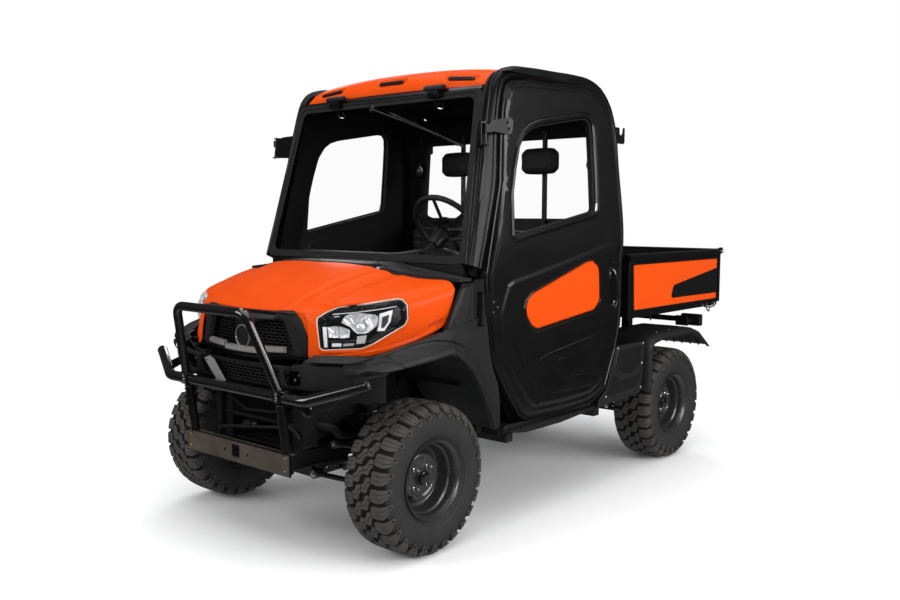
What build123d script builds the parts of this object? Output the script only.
"""Side by side utility vehicle with a closed cab and a tipping cargo bed.

Millimetres. +Z up, ground at z = 0, the front faces -Y, +X is the vehicle's left.
"""
from build123d import *
import os

os.makedirs("parts", exist_ok=True)

# ---------------------------------------------------------------- driving sizes
HALF_LENGTH = 1570.0          # bumper hoop to tailgate latch
FRONT_AXLE_Y = -1000.0
REAR_AXLE_Y = 1045.0          # wheelbase 2045
TRACK_X = 622.0               # tyre centre plane
TYRE_R = 314.0                # loaded radius of a 25 x 10-12 tyre
TYRE_HALF_W = 120.0
RIM_R = 150.0                 # 12 inch rim, barrel
FLANGE_R = 165.0
KINGPIN_X = 545.0
AXLE_Z = TYRE_R

DOOR_K = 0.0577               # the cab narrows towards the front
DOOR_X0 = 740.6               # door's outer face at y = 0
BELT_Z = 1250.0               # above this the cab sides lean in
LEAN = 0.075
DOOR_T = 40.0
RING_GAP = 6.0
RING_T = 44.0

HOOD_HINGE = (-900.0, 1150.0)     # y, z
BED_HINGE = (1450.0, 815.0)
GATE_HINGE = (1552.0, 866.0)
CYL_FOOT = (960.0, 455.0)
CYL_EYE = (1240.0, 822.0)
# the door hinge axis leans back and in with the pillar: (x, y, z) of its lower and upper pin
PIN_LOW = (730.0, -702.0, 1000.0)
PIN_HIGH = (697.0, -646.0, 1716.0)

BED_X = 750.0
BED_Y0, BED_Y1 = 462.0, 1530.0
BED_FLOOR, BED_TOP, BED_WALL = 880.0, 1176.0, 18.0


# ---------------------------------------------------------------- shape helpers
def block(x0, x1, y0, y1, z0, z1, mode=Mode.ADD):
    """A box between named limits."""
    with Locations(((x0 + x1) / 2, (y0 + y1) / 2, (z0 + z1) / 2)):
        Box(x1 - x0, y1 - y0, z1 - z0, mode=mode)


def outline(plane, points, r=0.0):
    """A closed outline on a plane, its corners rounded by r."""
    with BuildSketch(plane) as sk:
        with BuildLine():
            Polyline(*points, close=True)
        make_face()
        if r:
            fillet(sk.vertices(), r)
    return sk.sketch


def side_cut(points, x0, x1, mode=Mode.ADD, r=0.0):
    """A piece cut to a side view (y, z), between two x planes."""
    plane = Plane(origin=(x0, 0, 0), x_dir=(0, 1, 0), z_dir=(1, 0, 0))
    extrude(to_extrude=outline(plane, points, r), amount=x1 - x0, mode=mode)


def plan_cut(points, z0, z1, mode=Mode.ADD, r=0.0):
    """A piece cut to a plan view (x, y), between two heights."""
    extrude(to_extrude=outline(Plane.XY.offset(z0), points, r), amount=z1 - z0, mode=mode)


def front_cut(points, y0, y1, mode=Mode.ADD, r=0.0):
    """A piece cut to a front view (x, z), between two y planes."""
    plane = Plane(origin=(0, y0, 0), x_dir=(1, 0, 0), z_dir=(0, -1, 0))
    extrude(to_extrude=outline(plane, points, r), amount=-(y1 - y0), mode=mode)


def rod(a, b, r, mode=Mode.ADD):
    """A round bar from a to b."""
    ax = Vector(*b) - Vector(*a)
    with BuildSketch(Plane(origin=a, z_dir=ax)) as sk:
        Circle(r)
    extrude(to_extrude=sk.sketch, amount=ax.length, mode=mode)


def bent_tube(points, r, bend):
    """A round tube along a bent centre line."""
    with BuildLine() as path:
        FilletPolyline(*points, radius=bend)
    with BuildSketch(Plane(origin=path.line @ 0, z_dir=path.line % 0)) as sk:
        Circle(r)
    sweep(sections=sk.sketch, path=path.line)


def mirror_x(points):
    """The full outline of a half outline given from x = 0 outwards."""
    return list(points) + [(-x, y) for x, y in reversed(points) if x != 0]


# the cab's side planes, s along the vehicle and v upwards; k = +1 left, -1 right
def low_plane(side, inset):
    n = Vector(side, -DOOR_K, 0).normalized()
    o = Vector(side * DOOR_X0, 0, 0) - n * inset
    return Plane(origin=o, x_dir=(side * DOOR_K, 1, 0), z_dir=n)


def high_plane(side, inset):
    n = Vector(side, -DOOR_K, LEAN).normalized()
    o = Vector(side * DOOR_X0, 0, BELT_Z) - n * inset
    return Plane(origin=o, x_dir=(side * DOOR_K, 1, 0), z_dir=n)


def cab_slab(side, low, high, inset, thick, mode=Mode.ADD, r_low=0.0, r_high=0.0):
    """A wall of the cab side: a lower sheet (y, z) and a leaning upper sheet (y, v)."""
    for pts, plane, r in ((low, low_plane(side, inset), r_low), (high, high_plane(side, inset), r_high)):
        if not pts:
            continue
        if side < 0:                                   # keep y along +x_dir, up along y_dir
            pts = [(y, -v) for y, v in pts]
        extrude(to_extrude=outline(plane, pts, r), amount=-thick, mode=mode)


# lower z, upper z of each hinge barrel, y where its strap ends on the door
HINGES = ((925.0, 1050.0, -560.0), (1680.0, 1764.0, -470.0))


def pin_at(z):
    """The door hinge axis at a height, on the left side."""
    t = (z - PIN_LOW[2]) / (PIN_HIGH[2] - PIN_LOW[2])
    return tuple(a + (b - a) * t for a, b in zip(PIN_LOW, PIN_HIGH))


def mx(side, p):
    return (side * p[0], p[1], p[2])


# ---------------------------------------------------------------- wheels
# corner, side, axle y, steered
CORNERS = (
    ("front_left", 1, FRONT_AXLE_Y),
    ("front_right", -1, FRONT_AXLE_Y),
    ("rear_left", 1, REAR_AXLE_Y),
    ("rear_right", -1, REAR_AXLE_Y),
)
# x from the tyre's centre plane, radius
TYRE_PROFILE = (
    (-91.5, RIM_R + 0.3), (-91.5, 169.0), (-104.0, 178.0), (-TYRE_HALF_W, 216.0), (-TYRE_HALF_W, 268.0),
    (-108.0, 302.0), (-92.0, TYRE_R), (92.0, TYRE_R), (108.0, 302.0), (TYRE_HALF_W, 268.0),
    (TYRE_HALF_W, 216.0), (104.0, 178.0), (91.5, 169.0), (91.5, RIM_R + 0.3),
)
RIM_PROFILE = (
    (-102.0, 141.0), (-102.0, FLANGE_R), (-92.0, FLANGE_R), (-92.0, RIM_R), (92.0, RIM_R), (92.0, FLANGE_R),
    (102.0, FLANGE_R), (102.0, 152.0), (96.0, 141.0),
)
for corner, side, axle_y in CORNERS:
    hub = Plane(origin=(side * TRACK_X, axle_y, AXLE_Z), x_dir=(side, 0, 0), z_dir=(0, -side, 0))
    with BuildPart() as tyre:
        with BuildSketch(hub):
            with BuildLine():
                Polyline(*TYRE_PROFILE, close=True)
            make_face()
        revolve(axis=Axis((side * TRACK_X, axle_y, AXLE_Z), (1, 0, 0)))
    tyre.part.label = f"tyre_{corner}"
    export_step(tyre.part, f"parts/tyre_{corner}.step")

    with BuildPart() as rim:
        with BuildSketch(hub):
            with BuildLine():
                Polyline(*RIM_PROFILE, close=True)
            make_face()
            # dished disc, bolted to the drum, and the cap over the spindle
            with BuildLine():
                Polyline((20, 24), (20, 92), (-4, 118), (-4, RIM_R - 5), (4, RIM_R - 5), (4, 121), (28, 95), (28, 34),
                         (40, 34), (40, 0), (34, 0), (34, 24), close=True)
            make_face()
            with BuildLine():
                Polyline((-20, 23), (-20, 70), (20, 70), (20, 23), close=True)
            make_face()
        revolve(axis=Axis((side * TRACK_X, axle_y, AXLE_Z), (1, 0, 0)))
    rim.part.label = f"rim_{corner}"
    export_step(rim.part, f"parts/rim_{corner}.step")

for name, side in (("left", 1), ("right", -1)):
    with BuildPart() as knuckle:
        block(*sorted((side * 520, side * 572)), FRONT_AXLE_Y - 34, FRONT_AXLE_Y + 34, AXLE_Z - 68, AXLE_Z + 68)
        rod((side * 570, FRONT_AXLE_Y, AXLE_Z), (side * 598, FRONT_AXLE_Y, AXLE_Z), 44)
        rod((side * 590, FRONT_AXLE_Y, AXLE_Z), (side * 652, FRONT_AXLE_Y, AXLE_Z), 21.9)
        # steering arm
        block(*sorted((side * 524, side * 548)), FRONT_AXLE_Y + 30, FRONT_AXLE_Y + 118, AXLE_Z - 12, AXLE_Z + 12)
    knuckle.part.label = f"knuckle_{name}"
    export_step(knuckle.part, f"parts/knuckle_{name}.step")

# ---------------------------------------------------------------- chassis frame
RAIL_X0, RAIL_X1, RAIL_Z0, RAIL_Z1 = 205.0, 255.0, 345.0, 405.0
UPPER_Z0, UPPER_Z1 = 775.0, 822.0
ROOT_GAP = 0.4                # between members at their welds
STRUT_Y = 44.0                # struts stand this far behind the front axle and ahead of the rear one
CROSS_X = RAIL_X0 - ROOT_GAP
with BuildPart() as frame:
    for s in (1, -1):
        x0, x1 = sorted((s * RAIL_X0, s * RAIL_X1))
        block(x0, x1, -1425, 1400, RAIL_Z0, RAIL_Z1)
        # posts: y0, y1, z1
        for y0, y1, z1 in ((-1300, -1250, 690), (FRONT_AXLE_Y + STRUT_Y - 20, FRONT_AXLE_Y + STRUT_Y + 20, 705 - ROOT_GAP),
                           (520, 570, UPPER_Z0 - ROOT_GAP), (1350, 1400, UPPER_Z0 - ROOT_GAP)):
            block(x0, x1, y0, y1, RAIL_Z1 + ROOT_GAP, z1)
        block(x0, x1, 480, 1475, UPPER_Z0, UPPER_Z1)
        # cab outriggers
        for y0, y1 in ((-480, -430), (255, 305)):
            block(*sorted((s * (RAIL_X1 + ROOT_GAP), s * 690)), y0, y1, 362, RAIL_Z1)
        # outer ends of the bed hinge pin
        rod((s * (RAIL_X1 + ROOT_GAP), *BED_HINGE), (s * 300, *BED_HINGE), 11.95)
    # cross members: y0, y1, z0, z1
    for y0, y1, z0, z1 in ((-1400, -1350, 350, 400), (-700, -650, 350, 400), (0, 50, 350, 400), (540, 590, 350, 400),
                           (1350, 1400, 350, 400), (1370, 1400, UPPER_Z0, UPPER_Z1)):
        block(-CROSS_X, CROSS_X, y0, y1, z0, z1)
    # strut towers
    block(-345, 345, FRONT_AXLE_Y + STRUT_Y - 20, FRONT_AXLE_Y + STRUT_Y + 20, 705, 740)
    block(-345, 345, REAR_AXLE_Y - STRUT_Y - 20, REAR_AXLE_Y - STRUT_Y + 20, 738, UPPER_Z0 - ROOT_GAP)
    # middle of the bed hinge pin
    rod((-CROSS_X, *BED_HINGE), (CROSS_X, *BED_HINGE), 11.95)
frame.part.label = "frame"
export_step(frame.part, "parts/frame.step")

# foot of the lift cylinder: cross member, two lugs and the pin
with BuildPart() as cylinder_mount:
    block(-CROSS_X, CROSS_X, 935, 985, 380, 430)
    for x in (-34, 26):
        block(x, x + 8, CYL_FOOT[0] - 20, CYL_FOOT[0] + 20, 428, CYL_FOOT[1] + 18)
    rod((-34, *CYL_FOOT), (34, *CYL_FOOT), 9.95)
cylinder_mount.part.label = "cylinder_mount"
export_step(cylinder_mount.part, "parts/cylinder_mount.step")

# hitch receiver, 2 inch socket with its pin bore, under the rear cross member
RECEIVER_Z = 317.75
with BuildPart() as hitch_receiver:
    block(-31.75, 31.75, 1250, 1500, RECEIVER_Z - 31.75, RECEIVER_Z + 31.75)
    block(-25.4, 25.4, 1240, 1510, RECEIVER_Z - 25.4, RECEIVER_Z + 25.4, mode=Mode.SUBTRACT)
    with Locations(Location((0, 1450, RECEIVER_Z), (0, 90, 0))):
        Cylinder(8.1, 80, mode=Mode.SUBTRACT)
hitch_receiver.part.label = "hitch_receiver"
export_step(hitch_receiver.part, "parts/hitch_receiver.step")

with BuildPart() as engine:
    block(-190, 190, 600, 905, 412, 760)
engine.part.label = "engine"
export_step(engine.part, "parts/engine.step")

# ---------------------------------------------------------------- axles and suspension
# name, axle y, gearbox half width, gearbox y limits about the axle, gearbox top
for name, ay, half, g0, g1, gtop in (("front_suspension", FRONT_AXLE_Y, 100, -110, 110, 340),
                                     ("rear_suspension", REAR_AXLE_Y, 130, -110, 130, 344)):
    steered = ay < 0
    strut_y = ay + (STRUT_Y if steered else -STRUT_Y)
    top_z = 696 if steered else 729
    with BuildPart() as susp:
        block(-half, half, ay + g0, ay + g1, 232, gtop)
        for s in (1, -1):
            # half shaft and its outer joint
            shaft_end = 488 if steered else 519
            rod((s * (half + 2), ay, AXLE_Z - 12), (s * shaft_end, ay, AXLE_Z), 15)
            rod((s * (shaft_end - 45), ay, AXLE_Z), (s * shaft_end, ay, AXLE_Z), 32)
            # lower arm: two legs from the gearbox to the ball joint, and the strut that stands on one of them
            for q in (-1, 1):
                rod((s * (half + 4), ay + q * 92, 246), (s * KINGPIN_X, ay, 228), 12)
            rod((s * KINGPIN_X, ay, 218), (s * KINGPIN_X, ay, 240), 19)
            rod((s * 330, strut_y, 238), (s * 306, strut_y, top_z), 13)
            rod((s * 324.5, strut_y, 345), (s * 309, strut_y, 674), 33)
            # upper arm
            for q in (-1, 1):
                rod((s * 268, ay + q * 118, 410), (s * KINGPIN_X, ay, 400), 11)
            rod((s * 268, ay - 132, 410), (s * 268, ay + 132, 410), 11.5)
            rod((s * KINGPIN_X, ay, 388), (s * KINGPIN_X, ay, 410), 19)
            if not steered:                       # fixed hub carrier and spindle
                block(*sorted((s * 520, s * 572)), ay - 34, ay + 34, 240.5, 387.5)
                rod((s * 570, ay, AXLE_Z), (s * 598, ay, AXLE_Z), 44)
                rod((s * 590, ay, AXLE_Z), (s * 652, ay, AXLE_Z), 21.9)
    susp.part.label = name
    export_step(susp.part, f"parts/{name}.step")

# ---------------------------------------------------------------- front guard
BAR_R, HOOP_R = 22.0, 19.0
BAR_Z, BAR_Y = 666.0, -1441.0
with BuildPart() as bumper_bar:
    bent_tube([(-690, -1340, 742), (-455, BAR_Y - 8, BAR_Z), (455, BAR_Y - 8, BAR_Z), (690, -1340, 742)], BAR_R, 90)
bumper_bar.part.label = "bumper_bar"
export_step(bumper_bar.part, "parts/bumper_bar.step")

with BuildPart() as guard_hoop:
    bent_tube([(-316, -1458, BAR_Z + 26), (-236, -(HALF_LENGTH - HOOP_R), 1000), (236, -(HALF_LENGTH - HOOP_R), 1000),
               (316, -1458, BAR_Z + 26)], HOOP_R, 60)
guard_hoop.part.label = "guard_hoop"
export_step(guard_hoop.part, "parts/guard_hoop.step")

with BuildPart() as winch_mount:
    block(-348, 348, -1436, -1426, 346, 436)
    for s in (1, -1):
        rod((s * 312, -1447, 640), (s * 312, -1407, 350), HOOP_R)
    # fairlead bolt holes and the slot between them
    block(-62, 62, -1440, -1420, 378, 404, mode=Mode.SUBTRACT)
    for x in (-76.2, 76.2):
        with Locations(Location((x, -1431, 391), (90, 0, 0))):
            Cylinder(5.5, 30, mode=Mode.SUBTRACT)
winch_mount.part.label = "winch_mount"
export_step(winch_mount.part, "parts/winch_mount.step")

# ---------------------------------------------------------------- hood with its grille and lamps
# y, half width, bottom z, side top z, shoulder x, shoulder z, crease x, crease z, centre z
HOOD_SECTIONS = (
    (-1378.0, 446.0, 835.0, 985.0, 428.0, 1000.0, 300.0, 1003.0, 990.0),
    (-1270.0, 578.0, 848.0, 1003.0, 545.0, 1030.0, 330.0, 1055.0, 1050.0),
    (-1110.0, 656.0, 866.0, 1035.0, 618.0, 1065.0, 360.0, 1112.0, 1118.0),
    (-930.0, 692.0, 905.0, 1075.0, 650.0, 1105.0, 390.0, 1150.0, 1172.0),
    (-826.0, 698.0, 930.0, 1092.0, 655.0, 1120.0, 400.0, 1160.0, 1188.0),
)
HOOD_T = 14.0


def hood_section(row, t):
    y, w, zb, zs, xs, zsh, xc, zc, z0 = row
    half = [(w - t, zb - (40 if t else 0)), (w - t, zs - t * 0.4), (xs - t * 0.7, zsh - t), (xc, zc - t), (0, z0 - t)]
    return [(-x, z) for x, z in half[:-1]] + [half[-1]] + [(x, z) for x, z in reversed(half[:-1])]


def hood_body(t, y_shift=0.0):
    """Outer (t = 0) or inner skin of the hood as a closed body."""
    secs = []
    for row in HOOD_SECTIONS:
        y = row[0]
        if t:
            y += -30 if row is HOOD_SECTIONS[0] else (30 if row is HOOD_SECTIONS[-1] else 0)
        plane = Plane(origin=(0, y, 0), x_dir=(1, 0, 0), z_dir=(0, -1, 0))
        secs.append(outline(plane, hood_section(row, t)))
    loft(sections=secs, ruled=True)


with BuildPart() as hood_outer:
    hood_body(0.0)
with BuildPart() as hood_inner:
    hood_body(HOOD_T)

# lamp outline on a vertical plane turned towards the front corner: s along it, z
LAMP_PLANE_DIR = Vector(0.583, 0.813, 0)
LAMP_OUTLINE = ((14, 985), (330, 1040), (352, 1030), (348, 948), (232, 884), (10, 866))
LAMP_DEPTH = 90.0


def lamp_prism(side, grow, depth):
    """The lamp's prism through the hood side."""
    n = Vector(0.813, -0.583, 0)
    plane = Plane(origin=(450 + n.X * 60, -1375 + n.Y * 60, 0), x_dir=LAMP_PLANE_DIR, z_dir=n)
    with BuildSketch(plane) as sk:
        with BuildLine():
            Polyline(*LAMP_OUTLINE, close=True)
        make_face()
        fillet(sk.vertices(), 8)
        if grow:
            offset(amount=grow, kind=Kind.ARC)
    solid = extrude(to_extrude=sk.sketch, amount=-(60 + depth), mode=Mode.PRIVATE)
    return solid if side > 0 else solid.mirror(Plane.YZ)


HOOD_REAR = ((0, -968), (300, -956), (560, -890), (694, -822), (760, -780), (760, -600), (0, -600))
with BuildPart() as hood:
    add(hood_outer.part)
    add(hood_inner.part, mode=Mode.SUBTRACT)
    # the rear edge in plan and in side view
    plan_cut(mirror_x(HOOD_REAR), 700, 1300, mode=Mode.SUBTRACT)
    side_cut([(-922, 860), (-830, 1082), (-700, 1082), (-700, 860)], -800, 800, mode=Mode.SUBTRACT)
    for s in (1, -1):
        add(lamp_prism(s, 0.4, LAMP_DEPTH), mode=Mode.SUBTRACT)
    # hinge straps under the rear edge and the barrels round the pins
    for s in (1, -1):
        side_cut([(-900, 1141), (-900, 1158), (-950, 1143), (-1010, 1126), (-1010, 1118), (-952, 1131)], *sorted((s * 302, s * 338)))
        rod((s * 296, *HOOD_HINGE), (s * 344, *HOOD_HINGE), 9)
        rod((s * 290, *HOOD_HINGE), (s * 350, *HOOD_HINGE), 4.05, mode=Mode.SUBTRACT)
hood.part.label = "hood"
export_step(hood.part, "parts/hood.step")

with BuildPart() as headlights:
    for s in (1, -1):
        with BuildPart(mode=Mode.PRIVATE) as one:
            add(lamp_prism(s, 0.0, LAMP_DEPTH))
            add(hood_outer.part, mode=Mode.INTERSECT)
        add(one.part)
headlights.part.label = "headlights"
export_step(headlights.part, "parts/headlights.step")

# upper grille: a framed slotted panel that closes the hood's front
GRILLE_OUT = ((0, 996), (330, 1000), (420, 966), (440, 870), (398, 812), (0, 790))
with BuildPart() as grille:
    front_cut(mirror_x(GRILLE_OUT), -1424, -1380)
    front_cut([(52, 960), (290, 960), (345, 868), (180, 838), (62, 838)], -1430, -1396, mode=Mode.SUBTRACT)
    front_cut([(-52, 960), (-290, 960), (-345, 868), (-180, 838), (-62, 838)], -1430, -1396, mode=Mode.SUBTRACT)
    for s in (1, -1):
        for z in (856, 880, 904, 928):
            block(*sorted((s * 55, s * (356 - (z - 840) * 0.62))), -1412, -1395, z, z + 9)
grille.part.label = "grille"
export_step(grille.part, "parts/grille.step")

# ---------------------------------------------------------------- bumper cover and fenders
COVER_OUT = ((0, -1418), (330, -1414), (470, -1392), (600, -1318), (668, -1215))
with BuildPart() as bumper_cover:
    plan_cut(mirror_x(COVER_OUT + ((654, -1215), (590, -1304), (462, -1378), (330, -1400), (0, -1404))), 692, 826)
    # room under the grille's foot
    front_cut(mirror_x(((0, 782), (400, 804), (410, 830), (0, 830))), -1440, -1376, mode=Mode.SUBTRACT)
    # lower grille, set back
    block(-250, 250, -1430, -1400, 700, 760, mode=Mode.SUBTRACT)
    block(-262, 262, -1399, -1380, 694, 772)
    for z in (702, 718, 734, 750):
        block(-262, 262, -1403, -1396, z, z + 7)
    for s in (1, -1):
        block(*sorted((s * 205, s * 250)), -1400, -1305, 692, 712)
bumper_cover.part.label = "bumper_cover"
export_step(bumper_cover.part, "parts/bumper_cover.step")

# the front wheel arch in side view, from the bumper back to the sill
ARCH_LIP = ((-1330, 765), (-1237, 777), (-1023, 808), (-928, 820), (-852, 792), (-788, 739), (-723, 648), (-636, 518), (-602, 456))
FENDER_TOP = ((-1330, 822), (-1192, 846), (-1110, 858), (-932, 894), (-826, 1074), (-812, 1085), (-812, 1098), (-735, 1098), (-735, 1110),
              (-668, 1110), (-652, 962), (-625, 787), (-607, 722), (-560, 620), (-552, 456))
FENDER_WALL = ((520, -1372), (610, -1306), (672, -1190), (702, -1010), (712, -900), (716, -800), (708, -655), (702, -540))
with BuildPart() as front_fenders:
    for s in (1, -1):
        with BuildPart(mode=Mode.PRIVATE) as wall:
            pts = [(x, y) for x, y in FENDER_WALL] + [(x - 14, y) for x, y in reversed(FENDER_WALL)]
            plan_cut([(s * x, y) for x, y in pts], 440, 1180)
            side_cut(list(ARCH_LIP) + list(reversed(FENDER_TOP)), -760, 760, mode=Mode.INTERSECT)
        with BuildPart(mode=Mode.PRIVATE) as flare:
            inner = list(ARCH_LIP)
            outer = [(y + 2, z + 14) for y, z in ARCH_LIP[:4]] + [(-845, 806), (-777, 748), (-711, 655), (-624, 524), (-588, 456)]
            side_cut(inner + list(reversed(outer)), *sorted((s * 352, s * 760)))
            outside = [(300, -1345), (560, -1345), (652, -1300), (712, -1180), (745, -1010), (748, -850), (744, -700), (712, -585), (300, -560)]
            plan_cut([(s * x, y) for x, y in outside], 440, 900, mode=Mode.INTERSECT)
        add(wall.part)
        add(flare.part)
    # clear of the bumper cover's ends
    block(-700, 700, -1350, -1312, 690, 830, mode=Mode.SUBTRACT)
    for s in (1, -1):
        plan_cut([(s * 470, -1400), (s * 720, -1400), (s * 690, -1200), (s * 634, -1200), (s * 568, -1286), (s * 470, -1350)], 686, 832, mode=Mode.SUBTRACT)
front_fenders.part.label = "front_fenders"
export_step(front_fenders.part, "parts/front_fenders.step")

# ---------------------------------------------------------------- cowl, cab frame, glass, roof
with BuildPart() as cowl:
    front = [(x, y + 9) for x, y in ((0, -968), (300, -956), (560, -890), (694, -822))]
    plan_cut(mirror_x(front + [(700, -740), (0, -740)]), 1080, 1200)
    front_cut(mirror_x(((0, 1172), (300, 1168), (420, 1142), (705, 1116), (705, 1104), (420, 1124), (300, 1150), (0, 1154))),
              -990, -700, mode=Mode.INTERSECT)
    # pockets for the hood hinges, with cheeks that carry the pins
    for s in (1, -1):
        block(*sorted((s * 288, s * 352)), -990, -884, 1080, 1200, mode=Mode.SUBTRACT)
        for x in (282, 352):
            block(*sorted((s * x, s * (x + 6))), -912, -888, 1138, 1160)
        rod((s * 284, *HOOD_HINGE), (s * 356, *HOOD_HINGE), 3.98)
cowl.part.label = "cowl"
export_step(cowl.part, "parts/cowl.step")

# door outline, lower (y, z) and upper (y, v above the belt)
DOOR_LOW = ((-619, 1250), (-644, 1120), (-636, 962), (-609, 789), (-591, 730), (-484, 570), (-420, 477), (-364, 447), (-100, 441),
            (111, 452), (177, 469), (254, 511), (340, 701), (371, 818), (384, 951), (388, 1250))
DOOR_HIGH = ((-619, 0), (-478, 640), (-450, 700), (-400, 731), (-335, 739), (24, 747), (141, 751), (222, 736), (285, 698), (329, 642),
             (354, 580), (376, 364), (388, 0))
WINDOW = ((-459, 36), (-453, 227), (-394, 431), (-345, 495), (-233, 540), (91, 594), (140, 592), (162, 560), (160, 160), (140, 144))
# the frame ring behind the door: outside, then the opening
RING_LOW = ((-690, 1250), (-712, 1160), (-700, 1130), (-660, 1112), (-655, 962), (-628, 787), (-603, 716), (-500, 560), (-440, 470), (-400, 440),
            (420, 440), (424, 1250))
RING_HIGH = ((-694, 0), (-545, 672), (-500, 722), (-440, 748), (141, 756), (256, 742), (336, 700), (395, 600), (424, 0))
GAP_LOW = ((-560, 1250), (-585, 1120), (-580, 962), (-552, 800), (-440, 625), (-372, 520), (-330, 492), (90, 492), (160, 505), (212, 545),
           (290, 712), (318, 830), (330, 951), (334, 1250))
GAP_HIGH = ((-560, 0), (-424, 610), (-392, 660), (-330, 680), (24, 690), (141, 694), (200, 682), (245, 650), (285, 590), (322, 364), (334, 0))

with BuildPart() as cab_frame:
    for s in (1, -1):
        cab_slab(s, RING_LOW, RING_HIGH, DOOR_T + RING_GAP, RING_T)
        cab_slab(s, GAP_LOW, GAP_HIGH, DOOR_T + RING_GAP - 20, RING_T + 60, mode=Mode.SUBTRACT)
    # header, rear header, windscreen sill and rear sill
    block(-612, 612, -500, -450, 1915, 1965)
    block(-640, 640, 345, 385, 1886, 1930)
    block(-640, 640, -722, -690, 1122, 1166)
    block(-680, 680, 372, 418, 446, 500)
    # roof side covers over the doors
    for s in (1, -1):
        x0, x1 = sorted((s * 600, s * 676))
        side_cut([(-470, 2006), (-400, 2022), (-133, 2036), (60, 2040), (160, 2036), (235, 2024), (300, 2006)], x0, x1)
cab_frame.part.label = "cab_frame"
export_step(cab_frame.part, "parts/cab_frame.step")

# hinge brackets: a plate inboard of each barrel with a tab above and below it, and the pin between them
with BuildPart() as door_hinges:
    for s in (1, -1):
        for z0, z1, _ in HINGES:
            px, py, _ = pin_at((z0 + z1) / 2)
            for z in (z0 - 9, z1 + 3):
                qx, qy, _ = pin_at(z)
                plan_cut([(s * (px - 18), py - 10), (s * (qx + 8), qy - 10), (s * (qx + 8), qy + 9), (s * (px - 18), py + 12)], z, z + 6)
            plan_cut([(s * (px - 18), py - 10), (s * (px - 15), py - 10), (s * (px - 15), py + 12), (s * (px - 18), py + 12)],
                     z0 - 9, z1 + 9)
            rod(mx(s, pin_at(z0 - 12)), mx(s, pin_at(z1 + 12)), 4.98)
        # arm from the upper bracket back to the pillar
        z0, z1, _ = HINGES[1]
        px, py, _ = pin_at((z0 + z1) / 2)
        plan_cut([(s * (px - 18), py - 10), (s * (px - 18), py + 12), (s * 634, -588), (s * 622, -604)], z0 - 9, z1 + 9)
door_hinges.part.label = "door_hinges"
export_step(door_hinges.part, "parts/door_hinges.step")

with BuildPart() as roof:
    side_cut([(-548, 1932), (-540, 1962), (-480, 2004), (-400, 2026), (-250, 2040), (150, 2044), (320, 2024), (400, 1992), (436, 1952),
              (430, 1936), (392, 1936), (360, 1966), (-440, 1972), (-500, 1972), (-512, 1932)], -556, 556)
    for s in (1, -1):
        side_cut([(-466, 2011), (-400, 2026), (-250, 2040), (150, 2044), (320, 2024), (352, 2011)], *sorted((s * 550, s * 596)))
roof.part.label = "roof"
export_step(roof.part, "parts/roof.step")

# sloping windscreen in front of the pillars
WS_LOW, WS_HIGH = (-728.0, 1172.0), (-546.0, 1928.0)       # y, z
with BuildPart() as windshield:
    side_cut([WS_LOW, (WS_LOW[0] - 6, WS_LOW[1]), (WS_HIGH[0] - 6, WS_HIGH[1]), WS_HIGH], -700, 700)
    front_cut([(-658, 1172), (-598, 1929), (598, 1929), (658, 1172)], -800, -500, mode=Mode.INTERSECT)
windshield.part.label = "windshield"
export_step(windshield.part, "parts/windshield.step")

# back wall of the cab with its window
with BuildPart() as rear_wall:
    front_cut([(-655, 502), (-655, 1250), (-606, 1900), (606, 1900), (655, 1250), (655, 502)], 388, 416)
    front_cut([(-610, 1350), (-580, 1795), (580, 1795), (610, 1350)], 380, 425, mode=Mode.SUBTRACT, r=30)
    # posts that carry the headrests
    for x in (-284, 284):
        rod((x, 378, 1300), (x, 378, 1840), 9)
        for z in (1300, 1820):
            block(x - 9, x + 9, 370, 390, z, z + 18)
rear_wall.part.label = "rear_wall"
export_step(rear_wall.part, "parts/rear_wall.step")

with BuildPart() as rear_window:
    front_cut([(-609.5, 1350.5), (-579.5, 1794.5), (579.5, 1794.5), (609.5, 1350.5)], 400, 405, r=29.5)
rear_window.part.label = "rear_window"
export_step(rear_window.part, "parts/rear_window.step")

# ---------------------------------------------------------------- inside the cab
with BuildPart() as floor:
    block(-690, 690, -540, 330, 408, 434)
    for s in (1, -1):
        x0, x1 = sorted((s * 690, s * 748))
        side_cut([(-583, 450), (-540, 434), (170, 434), (170, 424), (-130, 406), (-413, 408), (-511, 424), (-583, 446)], x0, x1)
    # firewall, stepped over the wheel arches
    side_cut([(-580, 430), (-566, 430), (-566, 884), (-628, 912), (-628, 1116), (-640, 1116), (-640, 904), (-580, 876)], -600, 600)
    side_cut([(-580, 408), (-580, 440), (-540, 434), (-530, 408)], -600, 600)
floor.part.label = "floor"
export_step(floor.part, "parts/floor.step")

WHEEL_C = Vector(300, -432, 1318)          # steering wheel's centre
COLUMN = Vector(0, 0.80, 0.60).normalized()    # towards the driver
with BuildPart() as dashboard:
    side_cut([(-624, 940), (-624, 1160), (-600, 1182), (-540, 1186), (-500, 1160), (-486, 1080), (-520, 940)], -604, 604)
    foot = WHEEL_C - COLUMN * 210
    top = WHEEL_C - COLUMN * 40
    rod(tuple(foot), tuple(top), 24)
dashboard.part.label = "dashboard"
export_step(dashboard.part, "parts/dashboard.step")

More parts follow.
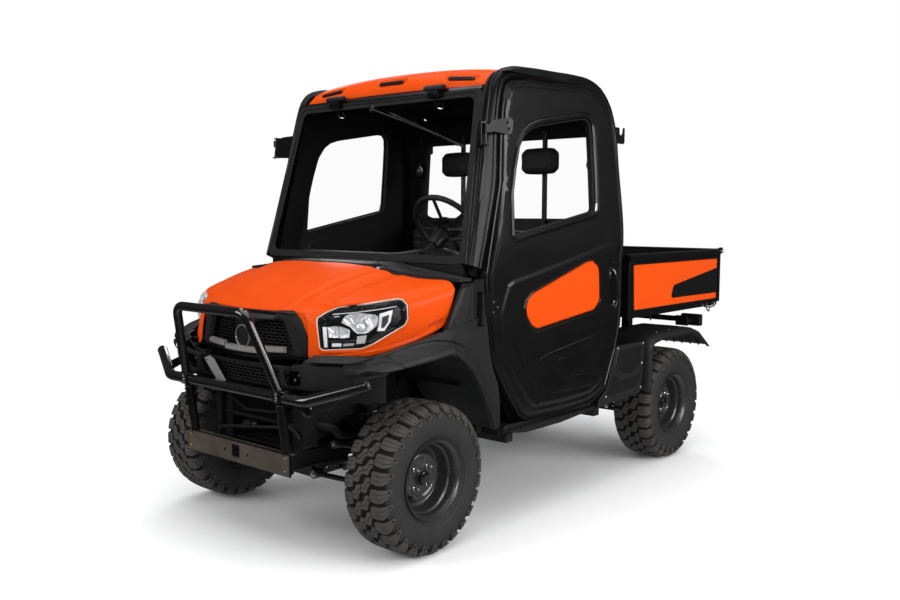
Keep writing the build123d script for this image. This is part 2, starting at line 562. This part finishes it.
with BuildPart() as steering_wheel:
    with Locations(Plane(origin=WHEEL_C, x_dir=Vector(1, 0, 0) + COLUMN.cross(Vector(1, 0, 0)), z_dir=COLUMN)):
        Torus(178, 13)
    with BuildSketch(Plane(origin=WHEEL_C - COLUMN * 34, x_dir=(1, 0, 0), z_dir=COLUMN)):
        Circle(34)
    extrude(amount=36)
    for px, pd in ((178, 0), (-178, 0), (0, -178)):
        up = COLUMN.cross(Vector(1, 0, 0))
        rod(tuple(WHEEL_C - COLUMN * 14), tuple(WHEEL_C + Vector(1, 0, 0) * px + up * pd), 8)
steering_wheel.part.label = "steering_wheel"
export_step(steering_wheel.part, "parts/steering_wheel.step")

with BuildPart() as seat_base:
    block(-600, 600, -60, 350, 436, 690)
seat_base.part.label = "seat_base"
export_step(seat_base.part, "parts/seat_base.step")
with BuildPart() as seat_cushion:
    side_cut([(-90, 700), (-96, 790), (-70, 822), (200, 800), (290, 800), (290, 691), (-60, 691)], -590, 590)
seat_cushion.part.label = "seat_cushion"
export_step(seat_cushion.part, "parts/seat_cushion.step")
with BuildPart() as seat_back:
    side_cut([(212, 802), (238, 1300), (262, 1330), (330, 1330), (340, 1300), (340, 802)], -590, 590)
seat_back.part.label = "seat_back"
export_step(seat_back.part, "parts/seat_back.step")
with BuildPart() as headrests:
    for x in (-284, 284):
        block(x - 122, x + 122, 300, 366, 1590, 1740)
headrests.part.label = "headrests"
export_step(headrests.part, "parts/headrests.step")

# ---------------------------------------------------------------- doors
# the raised panel, the groove and the pressed recess on the lower door
for name, s in (("left", 1), ("right", -1)):
    with BuildPart() as door:
        cab_slab(s, DOOR_LOW, DOOR_HIGH, 0.0, DOOR_T)
        cab_slab(s, None, WINDOW, -20.0, DOOR_T + 60, mode=Mode.SUBTRACT, r_high=10)
        # hinges: barrels round the pins, outside the leading edge, with straps to the door
        for z0, z1, y_on in HINGES:
            x_on = DOOR_X0 + DOOR_K * y_on - LEAN * max(0, (z0 + z1) / 2 - BELT_Z)
            px, py, _ = pin_at((z0 + z1) / 2)
            plan_cut([(s * (px - 6), py), (s * (px + 5), py + 6), (s * (x_on + 9), y_on), (s * (x_on - 8), y_on)], z0 + 28, z1 - 28)
            rod(mx(s, pin_at(z0)), mx(s, pin_at(z1)), 11)
            rod(mx(s, pin_at(z0 - 5)), mx(s, pin_at(z1 + 5)), 5.05, mode=Mode.SUBTRACT)
        # pull handle
        hx = DOOR_X0 + DOOR_K * 300
        block(*sorted((s * (hx - 6), s * (hx + 22))), 262, 340, 930, 1140)
        block(*sorted((s * (hx + 4), s * (hx + 30))), 285, 325, 960, 1110, mode=Mode.SUBTRACT)
    door.part.label = f"door_{name}"
    export_step(door.part, f"parts/door_{name}.step")
    with BuildPart() as glass:
        pts = [(-458, 37.5), (-452, 227), (-393.3, 430.5), (-344.5, 494.3), (-232.8, 539.2), (91, 593), (139.5, 591), (161.2, 560), (159.2, 161), (139.5, 145.4)]
        cab_slab(s, None, pts, 17.0, 6.0, r_high=9.5)
    glass.part.label = f"door_glass_{name}"
    export_step(glass.part, f"parts/door_glass_{name}.step")

# ---------------------------------------------------------------- body sides and rear fenders
with BuildPart() as side_panels:
    for s in (1, -1):
        x0, x1 = sorted((s * 724, s * 754))
        side_cut([(186, 424), (612, 444), (648, 700), (648, 716), (362, 716), (352, 698), (266, 506), (196, 464)], x0, x1)
side_panels.part.label = "side_panels"
export_step(side_panels.part, "parts/side_panels.step")

REAR_ARCH = ((652, 445), (652, 690), (690, 728), (790, 742), (1150, 742), (1240, 716), (1368, 628))
with BuildPart() as rear_fenders:
    for s in (1, -1):
        inner = list(REAR_ARCH)
        outer = [(664, 445), (664, 684), (697, 716), (790, 728), (1146, 728), (1232, 704), (1358, 617)]
        side_cut(inner + list(reversed(outer)), *sorted((s * 470, s * 752)))
        side_cut(inner + list(reversed([(680, 445), (680, 676), (706, 702), (790, 714), (1142, 714), (1222, 690), (1346, 604)])),
                 *sorted((s * 750, s * 790)))
rear_fenders.part.label = "rear_fenders"
export_step(rear_fenders.part, "parts/rear_fenders.step")

# ---------------------------------------------------------------- cargo bed
with BuildPart() as cargo_bed:
    block(-BED_X, BED_X, BED_Y0, BED_Y1, BED_FLOOR - 26, BED_TOP)
    block(-BED_X + BED_WALL, BED_X - BED_WALL, BED_Y0 + BED_WALL, BED_Y1 + 10, BED_FLOOR, BED_TOP + 10, mode=Mode.SUBTRACT)
    # top rails
    for s in (1, -1):
        block(*sorted((s * (BED_X - BED_WALL - 8), s * (BED_X + 14))), BED_Y0 - 4, BED_Y1, BED_TOP - 26, BED_TOP)
        # pressed side panel
        block(*sorted((s * (BED_X - 2), s * (BED_X + 8))), BED_Y0 + 30, BED_Y1 - 16, 872, 1136)
        # longitudinal skids, cut short of the hinge ears
        x0, x1 = sorted((s * 266, s * 292))
        block(x0, x1, BED_Y0 + 10, 1482, 828, BED_FLOOR - 20)
        side_cut([(1425, 845), (1425, 800), (1435, 793), (1465, 793), (1482, 810), (1482, 845)], x0, x1)
        with Locations(Location(((x0 + x1) / 2, *BED_HINGE), (0, 90, 0))):
            Cylinder(12.02, 40, mode=Mode.SUBTRACT)
        # tailgate hinge barrels
        xa, xb = sorted((s * 430, s * 492))
        rod((xa, *GATE_HINGE), (xb, *GATE_HINGE), 11)
        block(xa, xb, BED_Y1 - 10, GATE_HINGE[0], GATE_HINGE[1] - 11, GATE_HINGE[1] + 6)
        # pins in the tailgate's barrels
        rod((s * 430, *GATE_HINGE), (s * 552, *GATE_HINGE), 5)
    block(-BED_X + BED_WALL, BED_X - BED_WALL, BED_Y0, BED_Y0 + BED_WALL, BED_TOP - 26, BED_TOP)
    # eye of the lift cylinder
    for x in (-34, 26):
        block(x, x + 8, CYL_EYE[0] - 20, CYL_EYE[0] + 40, CYL_EYE[1] - 22, BED_FLOOR - 20)
    # slot for the cylinder's pin
    side_cut([(CYL_EYE[0] - 10, CYL_EYE[1] - 12.5), (CYL_EYE[0] + 28.5, CYL_EYE[1] - 12.5), (CYL_EYE[0] + 28.5, CYL_EYE[1] + 11),
              (CYL_EYE[0] - 10, CYL_EYE[1] + 11)], -40, 40, mode=Mode.SUBTRACT, r=9)
cargo_bed.part.label = "cargo_bed"
export_step(cargo_bed.part, "parts/cargo_bed.step")

with BuildPart() as tailgate:
    block(-BED_X + 2, BED_X - 2, 1536, 1562, 885, BED_TOP)
    block(-60, 60, 1560, HALF_LENGTH, 1120, 1160)
    for s in (1, -1):
        xa, xb = sorted((s * 497, s * 550))
        rod((xa, *GATE_HINGE), (xb, *GATE_HINGE), 11)
        block(xa, xb, GATE_HINGE[0] - 9, GATE_HINGE[0] + 11, GATE_HINGE[1], 890)
        rod((s * 490, *GATE_HINGE), (s * 560, *GATE_HINGE), 5.05, mode=Mode.SUBTRACT)
tailgate.part.label = "tailgate"
export_step(tailgate.part, "parts/tailgate.step")

# lift cylinder, from the foot on the frame to the eye under the bed
CYL_DIR = (Vector(0, *CYL_EYE) - Vector(0, *CYL_FOOT)).normalized()
CYL_LEN = (Vector(0, *CYL_EYE) - Vector(0, *CYL_FOOT)).length
foot_v, eye_v = Vector(0, *CYL_FOOT), Vector(0, *CYL_EYE)
with BuildPart() as cylinder_barrel:
    rod((-20, *CYL_FOOT), (20, *CYL_FOOT), 17)
    rod(tuple(foot_v + CYL_DIR * 12), tuple(foot_v + CYL_DIR * (CYL_LEN - 60)), 26)
    rod(tuple(foot_v + CYL_DIR * 40), tuple(foot_v + CYL_DIR * CYL_LEN), 14.1, mode=Mode.SUBTRACT)
    rod((-40, *CYL_FOOT), (40, *CYL_FOOT), 10.02, mode=Mode.SUBTRACT)
cylinder_barrel.part.label = "cylinder_barrel"
export_step(cylinder_barrel.part, "parts/cylinder_barrel.step")
with BuildPart() as cylinder_rod:
    rod(tuple(foot_v + CYL_DIR * 45), tuple(eye_v - CYL_DIR * 12), 14)
    rod((-20, *CYL_EYE), (20, *CYL_EYE), 16)
    rod((-38, *CYL_EYE), (38, *CYL_EYE), 8)
cylinder_rod.part.label = "cylinder_rod"
export_step(cylinder_rod.part, "parts/cylinder_rod.step")
